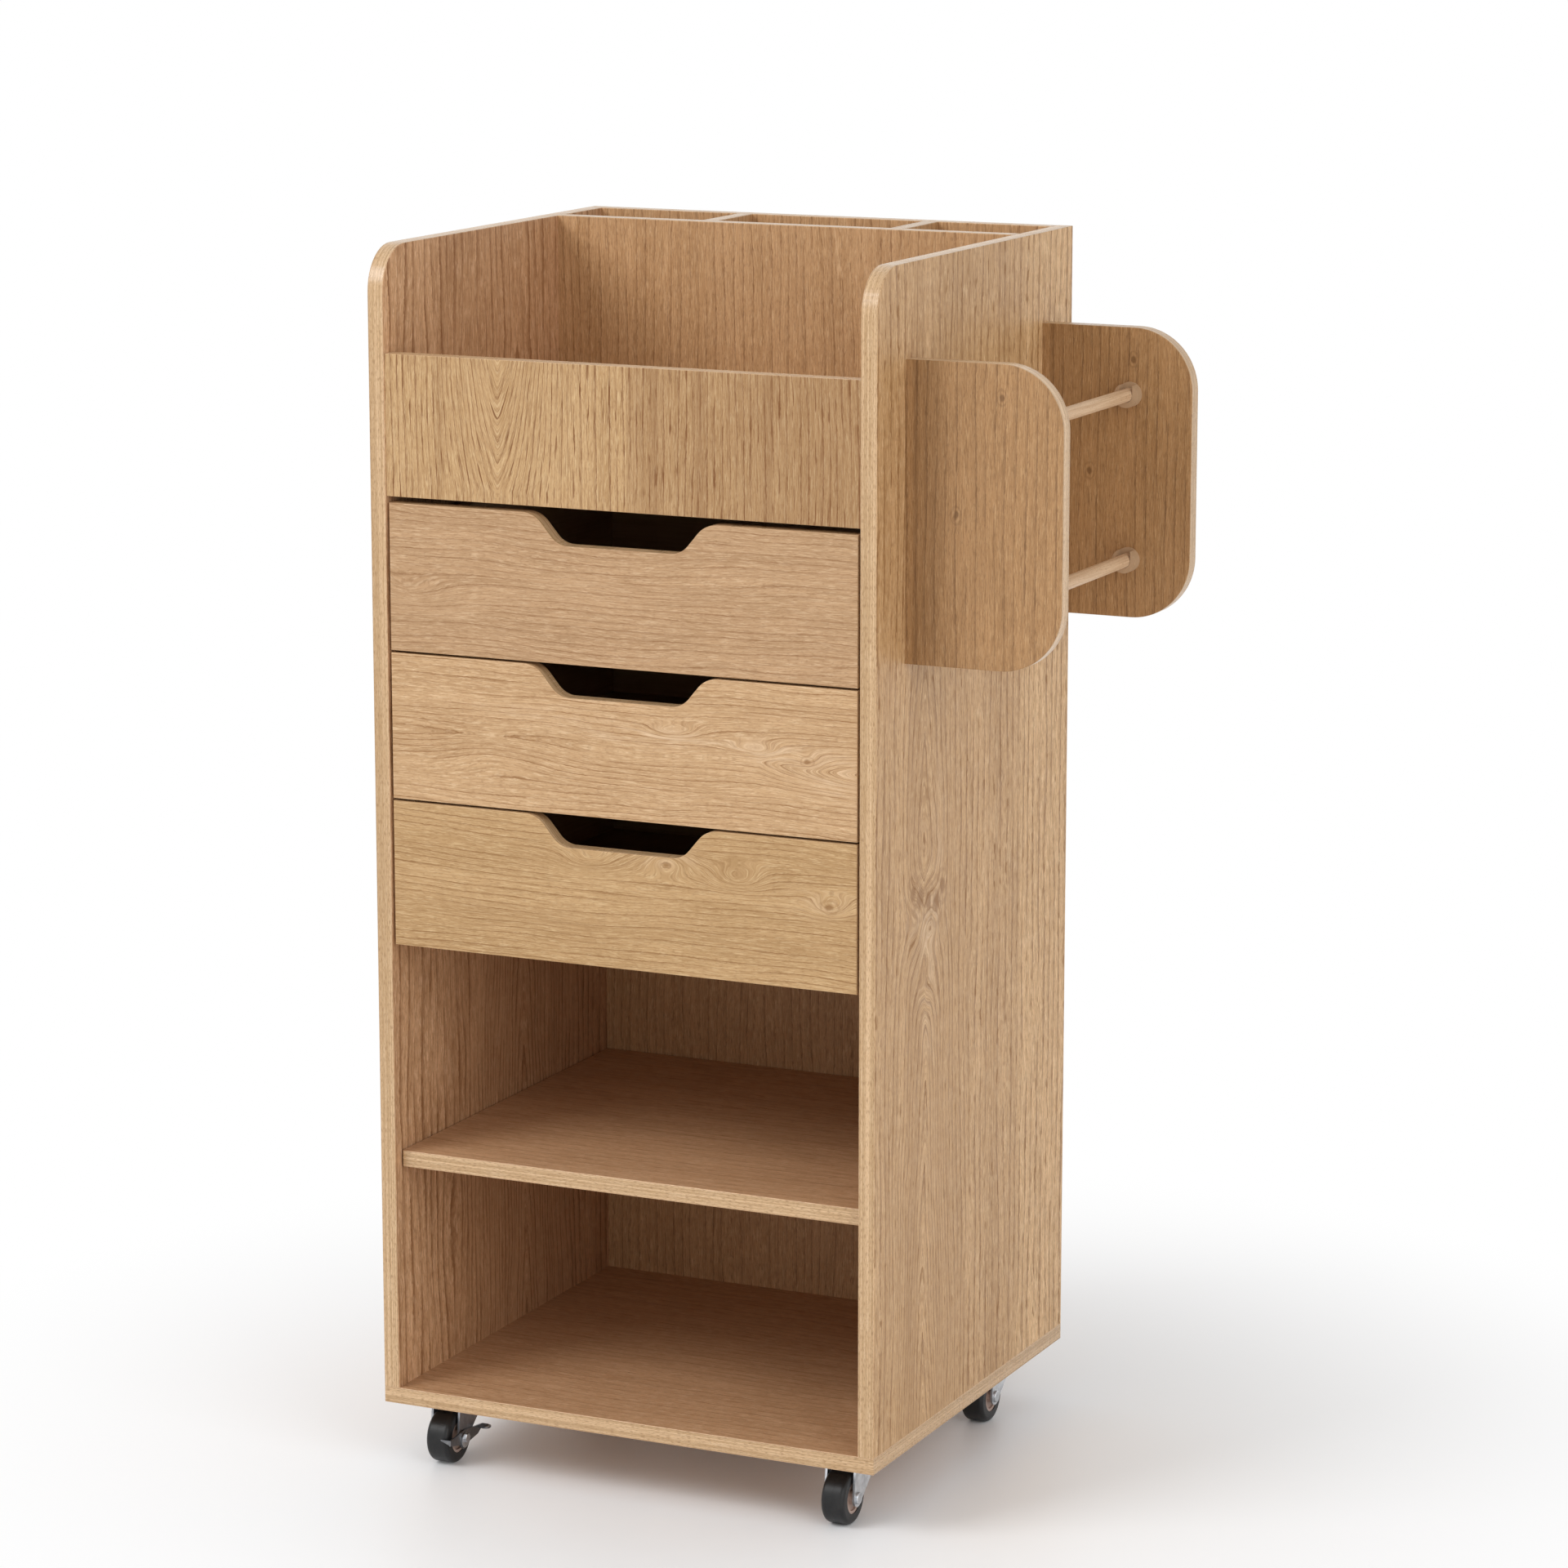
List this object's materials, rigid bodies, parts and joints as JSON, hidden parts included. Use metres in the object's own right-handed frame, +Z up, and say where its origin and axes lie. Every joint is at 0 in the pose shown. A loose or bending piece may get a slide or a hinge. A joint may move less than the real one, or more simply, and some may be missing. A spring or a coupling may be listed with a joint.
{
  "type": "rolling craft trolley",
  "caption": "Tall narrow board trolley on swivel casters: open tray with a divided pen box behind, stacked drawers with notched fronts, open bays with a shelf, and a side rack with spool rods.",
  "frame": {"origin": "on the floor, under the centre of the bounding box at rest, which includes the ribbon rack on the right side", "axes": "+Z up; +X to the right seen from the front, towards the ribbon rack; +Y from the drawer fronts to the back panel, so drawers open along -Y"},
  "size_m": [0.622, 0.43, 1.097],
  "materials": {
    "oak_laminate": "light oak laminate on 15 mm board, satin, printed edge bands",
    "drawer_board": "light oak foil on 12 mm board, satin",
    "hardboard": "foiled hardboard, satin",
    "dowel_wood": "turned beech, sanded and clear coated",
    "zinc_steel": "bright zinc plated steel",
    "zinc_casting": "cast zinc alloy, as cast",
    "dark_steel": "dark grey coated pressed steel",
    "hub_plastic": "beige moulded plastic",
    "cup_plastic": "wood-coloured moulded plastic",
    "tyre_rubber": "black rubber, soft sheen"
  },
  "bodies": {
    "carcass": {"base_panel": "oak_laminate", "left_side_panel": "oak_laminate", "right_side_panel": "oak_laminate", "back_panel": "oak_laminate", "tray_floor": "oak_laminate", "tray_front": "oak_laminate", "pen_box_front": "oak_laminate", "pen_divider_left": "oak_laminate", "pen_divider_right": "oak_laminate", "pen_box_floor": "oak_laminate", "bay_top_panel": "oak_laminate", "shelf": "oak_laminate", "rack_front_plate": "oak_laminate", "rack_rear_plate": "oak_laminate", "shelf_pins": "zinc_steel", "cabinet_runners": "zinc_steel", "rod_cups": "cup_plastic", "cam_locks": "zinc_casting", "cam_bolts": "zinc_steel", "carcass_screws": "zinc_steel", "caster_plates": "zinc_steel", "caster_screws": "zinc_steel"},
    "lower_drawer": {"lower_drawer_front": "oak_laminate", "lower_drawer_left_side": "drawer_board", "lower_drawer_right_side": "drawer_board", "lower_drawer_back": "drawer_board", "lower_drawer_bottom": "hardboard", "lower_drawer_runners": "zinc_steel"},
    "middle_drawer": {"middle_drawer_front": "oak_laminate", "middle_drawer_left_side": "drawer_board", "middle_drawer_right_side": "drawer_board", "middle_drawer_back": "drawer_board", "middle_drawer_bottom": "hardboard", "middle_drawer_runners": "zinc_steel"},
    "upper_drawer": {"upper_drawer_front": "oak_laminate", "upper_drawer_left_side": "drawer_board", "upper_drawer_right_side": "drawer_board", "upper_drawer_back": "drawer_board", "upper_drawer_bottom": "hardboard", "upper_drawer_runners": "zinc_steel"},
    "upper_rod": {"upper_ribbon_rod": "dowel_wood"},
    "lower_rod": {"lower_ribbon_rod": "dowel_wood"},
    "front_left_swivel": {"front_left_fork": "zinc_steel", "front_left_axle": "zinc_steel"},
    "front_left_wheel": {"front_left_hub": "hub_plastic", "front_left_tyre": "tyre_rubber"},
    "front_left_brake": {"front_left_brake_lever": "dark_steel"},
    "front_right_swivel": {"front_right_fork": "zinc_steel", "front_right_axle": "zinc_steel"},
    "front_right_wheel": {"front_right_hub": "hub_plastic", "front_right_tyre": "tyre_rubber"},
    "back_left_swivel": {"back_left_fork": "zinc_steel", "back_left_axle": "zinc_steel"},
    "back_left_wheel": {"back_left_hub": "hub_plastic", "back_left_tyre": "tyre_rubber"},
    "back_left_brake": {"back_left_brake_lever": "dark_steel"},
    "back_right_swivel": {"back_right_fork": "zinc_steel", "back_right_axle": "zinc_steel"},
    "back_right_wheel": {"back_right_hub": "hub_plastic", "back_right_tyre": "tyre_rubber"}
  },
  "joints": [
    {"name": "lower_drawer_slide", "type": "slide", "parent": "carcass", "child": "lower_drawer", "axis": [0, -1, 0], "range_m": [0, 0.26]},
    {"name": "middle_drawer_slide", "type": "slide", "parent": "carcass", "child": "middle_drawer", "axis": [0, -1, 0], "range_m": [0, 0.26]},
    {"name": "upper_drawer_slide", "type": "slide", "parent": "carcass", "child": "upper_drawer", "axis": [0, -1, 0], "range_m": [0, 0.26]},
    {"name": "upper_rod_turn", "type": "hinge", "parent": "carcass", "child": "upper_rod", "pos_m": [0.253, 0, 0.958], "axis": [0, 1, 0], "continuous": true},
    {"name": "lower_rod_turn", "type": "hinge", "parent": "carcass", "child": "lower_rod", "pos_m": [0.253, 0, 0.811], "axis": [0, 1, 0], "continuous": true},
    {"name": "front_left_swivel_turn", "type": "hinge", "parent": "carcass", "child": "front_left_swivel", "pos_m": [-0.266, -0.155, 0.055], "axis": [0, 0, 1], "continuous": true},
    {"name": "front_left_wheel_turn", "type": "hinge", "parent": "front_left_swivel", "child": "front_left_wheel", "pos_m": [-0.266, -0.179, 0.024], "axis": [1, 0, 0], "continuous": true},
    {"name": "front_left_brake_turn", "type": "hinge", "parent": "front_left_swivel", "child": "front_left_brake", "pos_m": [-0.251, -0.179, 0.0216], "axis": [1, 0, 0], "range_deg": [-20, 0]},
    {"name": "front_right_swivel_turn", "type": "hinge", "parent": "carcass", "child": "front_right_swivel", "pos_m": [0.124, -0.155, 0.055], "axis": [0, 0, 1], "continuous": true},
    {"name": "front_right_wheel_turn", "type": "hinge", "parent": "front_right_swivel", "child": "front_right_wheel", "pos_m": [0.124, -0.179, 0.024], "axis": [1, 0, 0], "continuous": true},
    {"name": "back_left_swivel_turn", "type": "hinge", "parent": "carcass", "child": "back_left_swivel", "pos_m": [-0.266, 0.155, 0.055], "axis": [0, 0, 1], "continuous": true},
    {"name": "back_left_wheel_turn", "type": "hinge", "parent": "back_left_swivel", "child": "back_left_wheel", "pos_m": [-0.266, 0.131, 0.024], "axis": [1, 0, 0], "continuous": true},
    {"name": "back_left_brake_turn", "type": "hinge", "parent": "back_left_swivel", "child": "back_left_brake", "pos_m": [-0.251, 0.131, 0.0216], "axis": [1, 0, 0], "range_deg": [-20, 0]},
    {"name": "back_right_swivel_turn", "type": "hinge", "parent": "carcass", "child": "back_right_swivel", "pos_m": [0.124, 0.155, 0.055], "axis": [0, 0, 1], "continuous": true},
    {"name": "back_right_wheel_turn", "type": "hinge", "parent": "back_right_swivel", "child": "back_right_wheel", "pos_m": [0.124, 0.131, 0.024], "axis": [1, 0, 0], "continuous": true}
  ]
}
